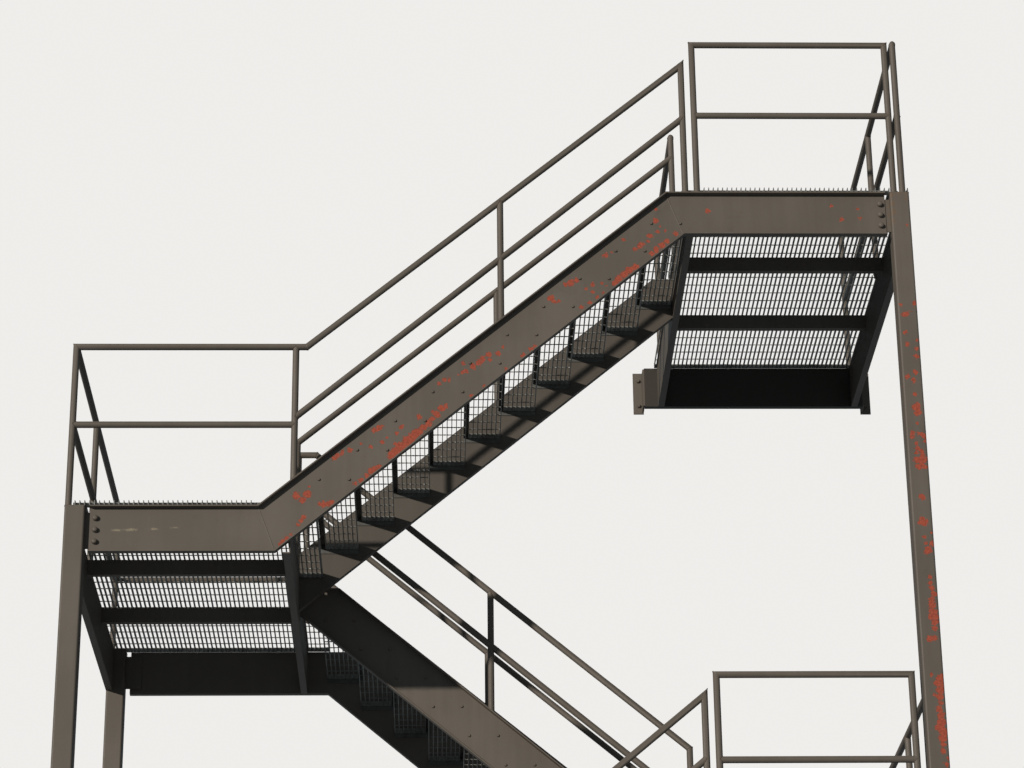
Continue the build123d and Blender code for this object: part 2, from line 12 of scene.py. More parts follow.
import bpy
import numpy as np
from bpy.props import FloatProperty, FloatVectorProperty, IntProperty, PointerProperty
from mathutils import Matrix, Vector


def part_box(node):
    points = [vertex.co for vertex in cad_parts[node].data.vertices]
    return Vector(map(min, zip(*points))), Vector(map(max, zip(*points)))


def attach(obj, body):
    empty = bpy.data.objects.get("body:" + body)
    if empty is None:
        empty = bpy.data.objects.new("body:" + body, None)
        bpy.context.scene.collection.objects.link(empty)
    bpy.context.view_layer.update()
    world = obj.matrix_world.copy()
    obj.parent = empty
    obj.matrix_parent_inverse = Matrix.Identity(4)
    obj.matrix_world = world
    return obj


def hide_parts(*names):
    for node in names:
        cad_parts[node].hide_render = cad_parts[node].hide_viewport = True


bl_info = {
    "name": "Fire Escape Stair Tower",
    "version": (1, 0, 0),
    "blender": (4, 5, 0),
    "location": "View3D > Sidebar > Stair Tower",
    "description": "Dresses the steel of a fire escape stair tower and sets its stage",
    "category": "Object",
}

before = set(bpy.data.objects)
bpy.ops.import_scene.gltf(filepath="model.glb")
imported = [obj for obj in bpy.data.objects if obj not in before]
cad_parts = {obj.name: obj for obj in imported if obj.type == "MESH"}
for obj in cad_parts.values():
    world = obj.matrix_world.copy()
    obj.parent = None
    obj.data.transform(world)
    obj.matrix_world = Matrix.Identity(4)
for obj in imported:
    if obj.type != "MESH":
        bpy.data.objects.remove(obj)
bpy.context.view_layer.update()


# Sizes and colours that a user would change

def length(name, description, default):
    """A length that a user may change."""
    return FloatProperty(name=name, description=description, default=default, unit="LENGTH")


def colour(name, description, default):
    """A colour that a user may change."""
    return FloatVectorProperty(name=name, description=description, default=default,
                               subtype="COLOR", min=0.0, max=1.0)


def angle(name, description, degrees):
    """An angle that a user may change."""
    return FloatProperty(name=name, description=description, default=math.radians(degrees),
                         subtype="ANGLE")


class StairSizes(bpy.types.PropertyGroup):
    """Sizes of the pieces that are made here."""
    rise: length("Rise", "Height of one step", 0.199)
    going: length("Going", "Depth of one step", 0.236)
    risers: IntProperty(name="Risers", description="Steps between landings", default=11)
    first_tread: length("First tread", "From the low knee to the first tread's middle", 0.466)
    tread_width: length("Tread width", "From back to nosing", 0.248)
    bar_pitch: length("Bar pitch", "From bearing bar to bearing bar", 0.0302)
    bar_thickness: length("Bar thickness", "Thickness of a bearing bar", 0.005)
    grating_depth: length("Grating depth", "Height of a bearing bar", 0.032)
    rod_pitch: length("Rod pitch", "From cross rod to cross rod", 0.1235)
    rod_size: length("Rod size", "Half the diagonal of a cross rod", 0.0042)
    pipe_diameter: length("Pipe diameter", "Outer diameter of the guards' pipe", 0.042)
    guard_height: length("Guard height", "Over a landing's grating", 1.073)
    top_guard_height: length("Top guard height", "Over the highest landing's grating", 1.100)
    mid_rail_drop: length("Mid rail drop", "From a landing's top rail to its mid rail", 0.536)
    stair_rail_height: length("Stair rail height", "Over the stringer's top line", 0.845)
    stair_mid_height: length("Stair mid rail height", "Over the stringer's top line", 0.447)
    stair_mid_low: length("Mid rail's low end", "Over the stringer's top line", 0.414)
    inner_rail_height: length("Inner rail height", "Top rail between the lanes", 0.825)
    corner_radius: length("Post corner", "Outer radius of the square posts", 0.012)
    bead_radius: length("Weld bead", "Radius of a weld bead", 0.0032)


class FinishColours(bpy.types.PropertyGroup):
    """Colours of the paint and of what shows where it is worn."""
    paint: colour("Paint", "Bronze grey paint", (0.117, 0.096, 0.077))
    paint_faded: colour("Faded paint", "Paint gone chalky", (0.142, 0.118, 0.096))
    primer: colour("Primer", "Red oxide in the chips", (0.42, 0.083, 0.044))
    rust: colour("Rust", "Along seams and edges", (0.135, 0.052, 0.022))
    dust: colour("Dust", "On faces that look up", (0.29, 0.25, 0.20))
    zinc: colour("Zinc", "Dull galvanised bars", (0.30, 0.295, 0.275))
    floor: colour("Floor", "Studio floor", (0.78, 0.77, 0.75))


class StageSettings(bpy.types.PropertyGroup):
    """Camera of the photograph and the studio light."""
    camera_place: FloatVectorProperty(
        name="Camera", description="Where the photograph was taken from",
        default=(-0.41375, -18.83905, -0.4475), subtype="TRANSLATION")
    camera_pitch: angle("Pitch", "How far the camera looks up", 24.12)
    camera_turn: angle("Turn", "How far the camera looks to the right", 1.5785)
    camera_roll: angle("Roll", "Tilt of the camera about its own axis", -0.6458)
    camera_lens: FloatProperty(
        name="Lens", description="Focal length on a 36 mm sensor", default=106.36)
    key_strength: FloatProperty(
        name="Key light", description="Strength of the key light", default=2.8)
    sky_strength: FloatProperty(
        name="Fill light", description="Strength of the even light all round", default=0.18)


# Places

FLOORS = FLIGHTS = (1, 2, 3, 4)
POSTS = ("front_left_post", "rear_left_post", "front_right_post")
FLANGE, CHANNEL, WEB, POST = 0.045, 0.305, 0.006, 0.127
BASE_PLATE, CAP, TAB = 0.020, 0.006, 0.010
RAIL_INSET, NEWEL_INSET, CORNER_INSET = 0.024, 0.030, 0.037
UP, DOWN, OUT, BACK, ALONG = (0, 0, 1), (0, 0, -1), (0, -1, 0), (0, 1, 0), (1, 0, 0)


def places():
    """Every place that the pieces share, from the solids' boxes and the sizes above."""
    sizes = bpy.context.scene.stair_sizes
    outer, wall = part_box("flight_2_outer_stringer"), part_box("flight_3_wall_stringer")
    left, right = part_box("landing_1_frame"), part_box("landing_2_frame")
    p = SimpleNamespace(
        front_toe=outer[0][1], rear_toe=wall[1][1], left_end=outer[0][0], right_end=outer[1][0],
        left_side=left[0][0], left_face=left[1][0], right_side=right[1][0],
        right_face=right[0][0], inner_toe_1=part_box("flight_2_inner_stringer")[1][1],
        inner_toe_2=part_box("flight_3_inner_stringer")[0][1])
    p.radius, p.bead = sizes.pipe_diameter / 2, sizes.bead_radius
    p.slope = sizes.rise / sizes.going
    p.knee_low = p.left_face - 0.204
    p.knee_high = p.knee_low + sizes.going * sizes.risers
    p.rear_knee_high = p.knee_low + 0.461
    p.rear_knee_low = p.rear_knee_high + sizes.going * sizes.risers
    p.rail_front = p.front_toe + RAIL_INSET
    p.rail_inner_1 = p.inner_toe_1 - RAIL_INSET
    p.rail_inner_2 = p.inner_toe_2 + RAIL_INSET
    p.rail_rear = p.rear_toe - RAIL_INSET
    p.web_front = p.front_toe + FLANGE
    p.web_rear = p.rear_toe - FLANGE
    p.lanes = (p.web_front, p.inner_toe_1 - FLANGE), (p.inner_toe_2 + FLANGE, p.web_rear)
    p.rail_rise = sizes.grating_depth + sizes.guard_height - p.radius
    p.top_rail_rise = sizes.grating_depth + sizes.top_guard_height - p.radius
    p.left_newel = p.left_face - NEWEL_INSET
    p.right_newel = p.right_face + NEWEL_INSET
    p.upper_post = p.knee_high + 0.205
    p.left_guard = p.left_side + p.radius
    p.left_corner = p.left_end + CORNER_INSET
    p.right_guard = p.right_side - 0.040
    p.right_corner = p.right_end - CORNER_INSET
    p.right_cap = p.right_side - POST + 0.030
    p.middle_y = (p.front_toe + p.rear_toe) / 2 - 0.150
    p.start_post = p.knee_low + 0.216
    p.middle_x = p.knee_low + 1.517
    p.ground_newel = p.rear_knee_low - 0.250
    return p


def steel(floor):
    """Level of the top of the beams under landing number floor."""
    sizes = bpy.context.scene.stair_sizes
    return sizes.rise * sizes.risers * floor - sizes.grating_depth


def flight_start(p, flight):
    """Sense in which a flight climbs along X, and its low knee."""
    return (-1, p.rear_knee_low) if flight % 2 else (1, p.knee_low)


def over_stringer(p, flight, y):
    """How a guard at y stands on a flight's stringer.

    A function that gives the point at a height over the stringer's top line, the line's
    direction, and the normal of the plane that lies on it.
    """
    climb, knee = flight_start(p, flight)
    low = steel(flight - 1)

    def over(x, height=0.0):
        return x, y, low + climb * (x - knee) * p.slope + height
    rake = np.subtract(over(1.0), over(0.0))
    rake /= np.linalg.norm(rake)
    return over, rake, np.cross(rake, (0, 1, 0))


def tread_places(p, flight):
    """Middles of a flight's treads along X, and the levels of their tops."""
    sizes = bpy.context.scene.stair_sizes
    climb, knee = flight_start(p, flight)
    n = np.arange(1, sizes.risers)
    return (knee + climb * (sizes.first_tread + sizes.going * (n - 1)),
            sizes.rise * (sizes.risers * (flight - 1) + n))


def post_middle(p, node):
    """X and Y of a post's axis."""
    return (p.left_side + POST / 2 if "left" in node else p.right_side - POST / 2,
            p.rear_toe - POST / 2 if "rear" in node else p.front_toe + POST / 2)


# Meshes from arrays

CORNERS = np.array(list(itertools.product((0.0, 1.0), repeat=3)))
BOX_FACES = np.array([(0, 1, 3, 2), (4, 6, 7, 5), (0, 4, 5, 1), (2, 3, 7, 6), (0, 2, 6, 4),
                      (1, 5, 7, 3)])


def boxes(pairs):
    """Boxes between pairs of opposite corners: each point is low + corner * (high - low)."""
    pairs = np.reshape(pairs, (-1, 2, 3)).astype(float)
    low, high = pairs.min(1)[:, None], pairs.max(1)[:, None]
    faces = BOX_FACES + 8 * np.arange(len(pairs))[:, None, None]
    return (low + CORNERS * (high - low)).reshape(-1, 3), faces.reshape(-1, 4).tolist()


def grid_faces(rings, around, closed_path=False):
    """Quads of a grid whose second index closes on itself, and its first one if asked."""
    steps = rings if closed_path else rings - 1
    i, j = np.meshgrid(np.arange(steps), np.arange(around), indexing="ij")
    k, m = (i + 1) % rings, (j + 1) % around
    quads = np.stack([i * around + j, i * around + m, k * around + m, k * around + j], -1)
    return quads.reshape(-1, 4).tolist()


def swept(profile, path, flat, ends=(None, None)):
    """A closed profile carried along a path that lies in one plane, mitred at its corners.

    A point is path + a * m + b * flat. flat is the normal of the path's plane, and m is the
    in-plane normal of a stretch, or at a corner the two normals' sum over 1 + their dot
    product. An end may be cut to a plane with the given normal.
    """
    profile, path, flat = (np.asarray(v, float) for v in (profile, path, flat))
    along = np.diff(path, axis=0)
    along /= np.linalg.norm(along, axis=1)[:, None]
    side = np.cross(flat, along)
    before = np.concatenate([side[:1], side])
    after = np.concatenate([side, side[-1:]])
    mitre = (before + after) / (1 + (before * after).sum(1))[:, None]
    for index, normal in ((0, ends[0]), (-1, ends[1])):
        if normal is not None:
            lean = np.dot(side[index], normal) / np.dot(along[index], normal)
            mitre[index] = side[index] - along[index] * lean
    points = (path[:, None] + profile[None, :, :1] * mitre[:, None]
              + profile[None, :, 1:] * flat[None, None])
    count = len(profile)
    faces = grid_faces(len(path), count)
    faces.append(list(range(count))[::-1])
    faces.append([(len(path) - 1) * count + n for n in range(count)])
    return points.reshape(-1, 3), faces


def raised(profile, x, y, low, high):
    """A closed profile carried straight up from low to high."""
    return swept(profile, [(x, y, low), (x, y, high)], (0, 1, 0))


def circle(radius, sides=24):
    """Points of a circle: radius * (cos t, sin t)."""
    t = np.arange(sides) * 2 * np.pi / sides
    return np.stack([radius * np.cos(t), radius * np.sin(t)], -1)


def rounded_square(half, radius, steps=4):
    """A square with rounded corners: each corner's centre plus a quarter circle.

    A point on the flat on either side of each corner keeps the flats' shading flat.
    """
    t = np.linspace(0, np.pi / 2, steps + 1)
    arc = radius * np.stack([np.cos(t), np.sin(t)], -1) + (half - radius)
    flat = radius / 6
    quarter = np.concatenate([arc[:1] - (0, flat), arc, arc[-1:] - (flat, 0)])
    turns = [np.array([[c, s], [-s, c]]) for c, s in ((1, 0), (0, 1), (-1, 0), (0, -1))]
    return np.concatenate([quarter @ turn for turn in turns])


def beads(curves, radius):
    """Weld beads on closed curves: a ripple tube round every curve.

    A point is curve + r * (cos a * outward - sin a * across), outward from the curve's
    middle, and r swells along the curve as radius * (1 + 0.22 * cos(5 t)).
    """
    curves = np.asarray(curves, float)
    count, steps = curves.shape[:2]
    tangent = np.roll(curves, -1, 1) - np.roll(curves, 1, 1)
    tangent /= np.linalg.norm(tangent, axis=2)[..., None]
    outward = curves - curves.mean(1, keepdims=True)
    outward -= (outward * tangent).sum(2)[..., None] * tangent
    outward /= np.linalg.norm(outward, axis=2)[..., None]
    across = np.cross(tangent, outward)
    t = np.arange(steps) * 2 * np.pi / steps
    swell = radius * (1 + 0.22 * np.cos(5 * t))
    a = (np.arange(4) * np.pi / 2 + 0.4)[:, None]
    ring = np.cos(a) * outward[:, :, None] - np.sin(a) * across[:, :, None]
    points = curves[:, :, None] + swell[None, :, None, None] * ring
    quads = np.array(grid_faces(steps, 4, True)) + 4 * steps * np.arange(count)[:, None, None]
    return points.reshape(-1, 3), quads.reshape(-1, 4).tolist()


def spread_round(direction, hint, radius, steps=16):
    """Unit direction, and offsets radius * (cos t * n1 + sin t * n2) square to it."""
    direction = np.asarray(direction, float) / np.linalg.norm(direction)
    n_1 = np.cross(direction, hint)
    n_1 /= np.linalg.norm(n_1)
    t = np.arange(steps)[:, None] * 2 * np.pi / steps
    return direction, radius * (np.cos(t) * n_1 + np.sin(t) * np.cross(direction, n_1))


def ring_round(centre, direction, cut, radius):
    """Where a pipe meets a plane: centre + offset - direction * s, with s to reach the plane."""
    hint = (0, 1, 0) if abs(direction[1]) < 0.9 else (1, 0, 0)
    direction, spread = spread_round(direction, hint, radius)
    return centre + spread - direction * ((spread @ cut) / (direction @ cut))[:, None]


def saddle(centre, direction, post, radius):
    """Where a pipe meets another pipe of its size.

    A point is centre + offset + direction * s, with s so that the point's distance from the
    other pipe's axis is the radius.
    """
    post = np.asarray(post, float) / np.linalg.norm(post)
    direction, spread = spread_round(direction, post, radius)
    flat_spread = spread - (spread @ post)[:, None] * post
    flat_direction = direction - (direction @ post) * post
    a = flat_direction @ flat_direction
    b = 2 * flat_spread @ flat_direction
    c = (flat_spread ** 2).sum(1) - radius ** 2
    s = (-b + np.sqrt(np.maximum(b * b - 4 * a * c, 0))) / (2 * a)
    return centre + spread + direction * s[:, None]


def placed(centres, axis, rings, faces):
    """Copies of one shape of rings, each (points, level), at every centre along axis.

    A point is centre + a * side + b * (axis x side) + level * axis.
    """
    side = np.cross(axis, (0, 0, 1) if abs(axis[2]) < 0.9 else (1, 0, 0))
    template = np.concatenate([np.column_stack([ring, np.full(len(ring), level)])
                               for ring, level in rings])
    points = np.atleast_2d(centres)[:, None] + template @ [side, np.cross(axis, side), axis]
    everywhere = [[n + index * len(template) for n in face]
                  for index in range(len(points)) for face in faces]
    return points.reshape(-1, 3), everywhere


def bolt_heads(centres, axis, across, height, washer=1.3):
    """Hexagon heads on round washers, one at every centre and facing along axis.

    The head is a hexagon prism with its top ring drawn in, on a flat prism of 12 sides.
    """
    plate, corner = height * 0.18, across / math.sqrt(3)
    rings = [(circle(across / 2 * washer, 12), level) for level in (0.0, plate)]
    rings += [(circle(corner * w, 6), level)
              for w, level in ((1, plate), (1, height * 0.88), (0.86, height))]
    faces = grid_faces(2, 12) + [list(range(12))[::-1], list(range(12, 24))]
    hexagon = grid_faces(3, 6) + [list(range(6))[::-1], list(range(12, 18))]
    return placed(centres, axis, rings, faces + [[24 + n for n in face] for face in hexagon])


def domed_heads(centres, axis, radius, height):
    """Button heads: rings of radius * w at height * level, the last one closed flat."""
    rings = [(circle(radius * w, 16), height * level)
             for w, level in ((1, 0), (1, 0.6), (0.86, 0.88), (0.5, 1))]
    faces = grid_faces(4, 16) + [list(range(16))[::-1], list(range(48, 64))]
    return placed(centres, axis, rings, faces)


def twisted_rod(x_start, x_end, y, z, radius, pitch):
    """A square rod along X with a steady twist: the ring at x is turned by x * 120 / pitch."""
    rings = max(int(round((x_end - x_start) / (pitch / 2))) + 1, 2)
    x = np.linspace(x_start, x_end, rings)[:, None]
    angle = np.radians(120) * x / pitch + np.arange(4) * np.pi / 2
    points = np.stack([np.broadcast_to(x, angle.shape), y + radius * np.cos(angle),
                       z + radius * np.sin(angle)], -1)
    faces = grid_faces(rings, 4) + [[3, 2, 1, 0], [4 * rings - 4 + n for n in range(4)]]
    return points.reshape(-1, 3), faces


def new_object(name, data):
    """An object of that data in the scene."""
    made = bpy.data.objects.new(name, data)
    bpy.context.scene.collection.objects.link(made)
    return made


def make_piece(name, parts, material, nodes=(), smooth=None):
    """Join parts, each (points, faces), into one object that rides on the tower."""
    points, faces = [], []
    for part_points, part_faces in parts:
        faces += [[n + len(points) for n in face] for face in part_faces]
        points += part_points.tolist()
    mesh = bpy.data.meshes.new(name)
    mesh.from_pydata(points, [], faces)
    mesh.materials.append(material)
    if smooth is not None:
        mesh.shade_smooth()
        mesh.set_sharp_from_angle(angle=math.radians(smooth))
    piece = new_object(name, mesh)
    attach(piece, "root")
    if nodes:
        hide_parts(*nodes)


# Finishes

class Nodes:
    """The node tree of a material or world, being put together."""

    def __init__(self, owner):
        owner.use_nodes = True
        self.tree = owner.node_tree
        self.tree.nodes.clear()

    def add(self, kind, sockets=(), **settings):
        """A node with its settings, and its sockets linked or given values."""
        node = self.tree.nodes.new(kind)
        for key, value in settings.items():
            setattr(node, key, value)
        for key, value in dict(sockets).items():
            if isinstance(value, bpy.types.NodeSocket):
                self.tree.links.new(value, node.inputs[key])
            else:
                node.inputs[key].default_value = value
        return node


class Finish(Nodes):
    """A material being put together."""

    def __init__(self, name):
        self.material = bpy.data.materials.new(name)
        super().__init__(self.material)
        self.place = self.add("ShaderNodeTexCoord").outputs["Object"]
        self.facing = self.add("ShaderNodeNewGeometry").outputs["Normal"]

    def noise(self, scale, detail=3.0, roughness=0.55, stretch=None):
        """Noise over the piece's own place, stretched along its axes if asked."""
        vector = self.place
        if stretch:
            vector = self.add("ShaderNodeMapping",
                              {"Vector": vector, "Scale": stretch}).outputs[0]
        return self.add("ShaderNodeTexNoise", {
            "Vector": vector, "Scale": scale, "Detail": detail,
            "Roughness": roughness}).outputs["Fac"]

    def math(self, operation, first, second=0.0, third=0.0):
        """One arithmetic step."""
        return self.add("ShaderNodeMath", {0: first, 1: second, 2: third},
                        operation=operation).outputs[0]

    def times(self, first, second):
        """The product of two values."""
        return self.math("MULTIPLY", first, second)

    def plus(self, first, second):
        """The sum of two values."""
        return self.math("ADD", first, second)

    def ramp(self, value, low, high, to_low=0.0, to_high=1.0):
        """A smooth step from low to high."""
        return self.add("ShaderNodeMapRange",
                        {"Value": value, "From Min": low, "From Max": high, "To Min": to_low,
                         "To Max": to_high}, interpolation_type="SMOOTHSTEP").outputs[0]

    def blend(self, factor, first, second):
        """A mix of two colours."""
        first, second = (value if isinstance(value, bpy.types.NodeSocket) else (*value, 1.0)
                         for value in (first, second))
        return self.add("ShaderNodeMix", {"Factor": factor, 6: first, 7: second},
                        data_type="RGBA").outputs[2]

    def faced(self, axis):
        """How far a face looks along an axis."""
        return self.add("ShaderNodeSeparateXYZ", {0: self.facing}).outputs[axis]

    def discs(self, rows, flakes, ragged, soft=0.0015, across=1.0):
        """1 inside discs (x, z, radius) on faces that look to the front.

        A disc reaches to where distance - radius < ragged * (flakes - 0.5), and is 1 / across
        times as long as high.
        """
        near = 9.0  # farther than any disc
        flat = self.add("ShaderNodeVectorMath", {0: self.place, 1: (across, 0, 1)},
                        operation="MULTIPLY").outputs[0]
        for x, z, radius in rows:
            distance = self.add("ShaderNodeVectorMath", {0: flat, 1: (x * across, 0, z)},
                                operation="DISTANCE").outputs["Value"]
            near = self.math("MINIMUM", self.math("SUBTRACT", distance, radius), near)
        edge = self.math("MULTIPLY_ADD", flakes, -ragged, ragged / 2)
        front = self.math("LESS_THAN", self.faced("Y"), -0.5)
        return self.times(self.ramp(self.plus(near, edge), soft, -soft), front)

    def close(self, colour, roughness, height, distance, metallic=0.0):
        """The surface shader, with a bump of the given height in metres."""
        bump = self.add("ShaderNodeBump", {"Height": height, "Distance": distance,
                                           "Strength": 1.0}).outputs[0]
        shader = self.add("ShaderNodeBsdfPrincipled", {
            "Base Color": colour, "Roughness": roughness, "Normal": bump,
            "Metallic": metallic, "Specular IOR Level": 0.4}).outputs[0]
        self.add("ShaderNodeOutputMaterial", {"Surface": shader}).is_active_output = True
        return self.material


# Places of chips in millimetres, each one X, Z and radius: on the front of flight 4 with its
# fascias, and on the right post. They were read off the photograph by eye, in its pixels, and
# a scratch script worked the millimetres out. That breaks the rule that a script holds no
# table of numbers made by another program, and report.md says so.
CHIPS = (
    -1050, 6860, 16, -1030, 6880, 16, -1000, 6900, 15, -950, 6920, 15, -800, 7050, 16, -770,
    7070, 19, -750, 7080, 13, -630, 7070, 15, -660, 7030, 11, -750, 6970, 14, -720, 7000, 8,
    -820, 6940, 11, -880, 6960, 8, -520, 7140, 16, -690, 6880, 29, -670, 6900, 28, -630, 6940,
    33, -590, 6980, 34, -540, 7030, 30, -490, 7070, 21, -460, 7100, 20, -410, 7160, 23, -380,
    7200, 24, -670, 6960, 10, -430, 7180, 10, -390, 7370, 11, -360, 7400, 14, -330, 7400, 13,
    -840, 6740, 19, -820, 6770, 20, -770, 6800, 20, -880, 6710, 17, -920, 6690, 14, -1280, 6610,
    24, -1210, 6620, 24, -1240, 6580, 21, -1200, 6670, 7, -1110, 6550, 21, -1060, 6560, 20,
    -270, 7430, 9, -240, 7450, 11, -220, 7460, 13, -240, 7510, 11, -180, 7490, 19, -140, 7520,
    22, -120, 7540, 16, -80, 7570, 20, -70, 7540, 13, -20, 7580, 17, 10, 7630, 6, 140, 7570, 14,
    190, 7610, 17, 220, 7630, 10, 30, 7470, 11, -190, 7290, 11, -110, 7360, 8, -370, 7200, 16,
    320, 7970, 23, 340, 7950, 15, 370, 7950, 10, 420, 8070, 13, 450, 8080, 23, 490, 8100, 17,
    550, 8040, 10, 590, 8070, 14, 590, 8020, 12, 650, 8080, 8, 680, 8060, 8, 680, 8280, 17, 720,
    8300, 6, 800, 8390, 10, 870, 8320, 14, 900, 8340, 16, 920, 8360, 17, 970, 8420, 18, 960,
    8380, 10, 1010, 8530, 16, 1020, 8610, 8, 1040, 8490, 8, 1070, 8460, 8, 1020, 8450, 12, 1140,
    8440, 17, 980, 8290, 19, 1010, 8320, 21, 1050, 8350, 21, 1080, 8380, 18, 740, 8080, 23, 760,
    8110, 24, 800, 8140, 26, 830, 8170, 26, 870, 8190, 25, 520, 7910, 13, 570, 7940, 13, 620,
    7980, 12, 660, 8010, 10, 1350, 8600, 16, 2160, 8640, 10, 2220, 8540, 14, 2330, 8620, 7,
    2340, 8550, 10, -140, 7530, 16, -120, 7550, 16, -663, 6910, 31, -564, 7005, 29, -514, 7046,
    23, -438, 7128, 18, -350, 7217, 13, -794, 6788, 19, -1132, 6554, 15, -1083, 6554, 20, -1248,
    6441, 14, -1230, 6467, 15, -1266, 6414, 11, -1374, 6282, 11, -1357, 6308, 15, -1332, 6328,
    16, -1308, 6348, 10,
)
POST_CHIPS = (
    2567, 7910, 12, 2579, 7842, 15, 2598, 7844, 17, 2650, 7920, 12, 2581, 7711, 14, 2587, 7631,
    17, 2643, 7604, 13, 2650, 7659, 9, 2639, 7542, 17, 2626, 7436, 16, 2573, 7404, 14, 2612,
    7376, 15, 2544, 7336, 7, 2613, 7281, 15, 2618, 7193, 28, 2624, 7155, 23, 2591, 7184, 8,
    2619, 7080, 11, 2577, 7014, 13, 2578, 6981, 14, 2619, 7014, 13, 2636, 7005, 17, 2652, 6990,
    17, 2659, 6960, 13, 2598, 6948, 12, 2608, 6906, 15, 2624, 6892, 17, 2596, 6883, 13, 2635,
    6864, 19, 2598, 6830, 20, 2628, 6826, 28, 2655, 6837, 17, 2639, 6787, 21, 2602, 6783, 19,
    2611, 6581, 18, 2603, 6438, 16, 2614, 6410, 25, 2588, 6410, 14, 2631, 6420, 16, 2610, 6317,
    13, 2655, 6341, 7, 2616, 6274, 12, 2652, 6268, 18, 2625, 6228, 25, 2623, 6050, 13, 2624,
    6011, 15, 2630, 5978, 17, 2642, 5939, 18, 2625, 5897, 19, 2628, 5861, 23, 2632, 5825, 24,
    2641, 5793, 21, 2618, 5794, 18, 2637, 5754, 20, 2638, 5718, 18, 2602, 5647, 19, 2627, 5651,
    19, 2593, 5419, 9, 2633, 5396, 16, 2663, 5401, 22, 2626, 5361, 22, 2651, 5359, 25, 2641,
    5321, 25, 2637, 5277, 21, 2609, 5287, 12, 2635, 5242, 14, 2629, 5195, 23, 2634, 5166, 22,
    2633, 5119, 28, 2625, 5081, 27, 2641, 5056, 28, 2635, 5019, 24, 2635, 4975, 18, 2633, 4937,
    17, 2665, 4890, 13, 2647, 4856, 15, 2642, 8481, 10,
)
# Pale streaks on the left fascia, in metres, from places found in the same way
SCUFFS = ((-2.380, 6.381, 0.006), (-2.295, 6.384, 0.007), (-2.150, 6.389, 0.005),
          (-2.025, 6.397, 0.003))
# Rust that has run down from the right post's cap, in metres, found in the same way
STAINS = ((2.542, 8.707, 0.02), (2.552, 8.641, 0.016), (2.555, 8.576, 0.018),
          (2.550, 8.510, 0.013), (2.602, 8.715, 0.009), (2.641, 8.715, 0.006),
          (2.645, 8.678, 0.010))
SCUFF_COLOUR, STAIN_COLOUR = (0.42, 0.34, 0.22), (0.19, 0.095, 0.038)


def weathered_paint(name, chips=(), scuffs=(), stains=(), flecks=0.3, rusty=0.3, soot=0.0):
    """Bronze grey paint that has chalked, run and flaked down to red primer.

    chips, scuffs and stains are discs where the paint is gone, scraped pale or brown. flecks sets
    how much of the rest has flaked, rusty how much rust shows, and the last setting darkens it
    all evenly, which is painted shade on landing 4's rear beam.
    """
    colours = bpy.context.scene.finish_colours
    f = Finish(name)
    broad, fine, flakes = f.noise(1.3, 4.0), f.noise(75.0, 4.0, 0.65), f.noise(46.0, 7.0, 0.78)
    runs = f.noise(1.0, 3.0, 0.6, (14.0, 14.0, 0.9))
    chalk = f.ramp(f.plus(f.times(broad, 0.7), f.times(runs, 0.3)), 0.38, 0.66)
    colour = f.blend(chalk, colours.paint, colours.paint_faded)

    # Grime in random patches, and everywhere at least the even darkening of the last setting:
    # painted shade on landing 4's rear beam, a darker tone on the inner stringers.
    grime_and_darkening = f.math("MAXIMUM", f.times(f.ramp(f.noise(5.5, 6.0, 0.7), 0.56, 0.8), 0.21), soot)
    colour = f.blend(grime_and_darkening, colour, [c * 0.25 for c in colours.paint])
    dust = f.times(f.ramp(f.faced("Z"), 0.6, 1.0),
                   f.ramp(f.noise(9.0, 5.0, 0.7), 0.3, 0.7, 0.25, 0.8))
    colour = f.blend(dust, colour, colours.dust)

    patches = f.noise(3.1, 2.0, 0.5)
    limit = 0.74 - 0.12 * flecks
    chip = f.times(f.ramp(patches, limit, limit + 0.04), f.ramp(flakes, 0.60, 0.63))
    if chips:
        chip = f.math("MAXIMUM", chip, f.discs(np.reshape(chips, (-1, 3)) / 1000, flakes, 0.075))
    primer = f.blend(f.ramp(fine, 0.35, 0.7), colours.primer, [c * 0.62 for c in colours.primer])
    colour = f.blend(chip, colour, primer)
    if scuffs:
        streaks = f.discs(scuffs, flakes, 0.03, 0.005, 0.25)
        colour = f.blend(f.times(streaks, 0.5), colour, SCUFF_COLOUR)
    if stains:
        brown = f.discs(stains, flakes, 0.05, 0.025)
        colour = f.blend(f.times(brown, 0.5), colour, STAIN_COLOUR)

    specks = f.times(f.ramp(f.noise(38.0, 2.0, 0.5), 0.70, 0.74), f.ramp(patches, 0.45, 0.65))
    colour = f.blend(f.times(specks, rusty), colour, colours.rust)
    bevel = f.add("ShaderNodeBevel", {"Radius": 0.004}, samples=4).outputs[0]
    bend = f.add("ShaderNodeVectorMath", {0: bevel, 1: f.facing},
                 operation="DOT_PRODUCT").outputs["Value"]
    worn = f.times(f.ramp(bend, 0.97, 0.80), f.ramp(f.noise(16.0, 5.0, 0.7), 0.5, 0.6))
    colour = f.blend(f.times(worn, 0.6), colour, colours.rust)

    roughness = f.plus(f.ramp(fine, 0.3, 0.7, 0.52, 0.64),
                       f.times(f.math("MAXIMUM", chip, dust), 0.22))
    height = f.plus(f.times(f.noise(240.0, 2.0, 0.5), 0.25), f.times(chip, -0.8))
    return f.close(colour, roughness, f.plus(height, f.times(broad, 2.5)), 0.0005)


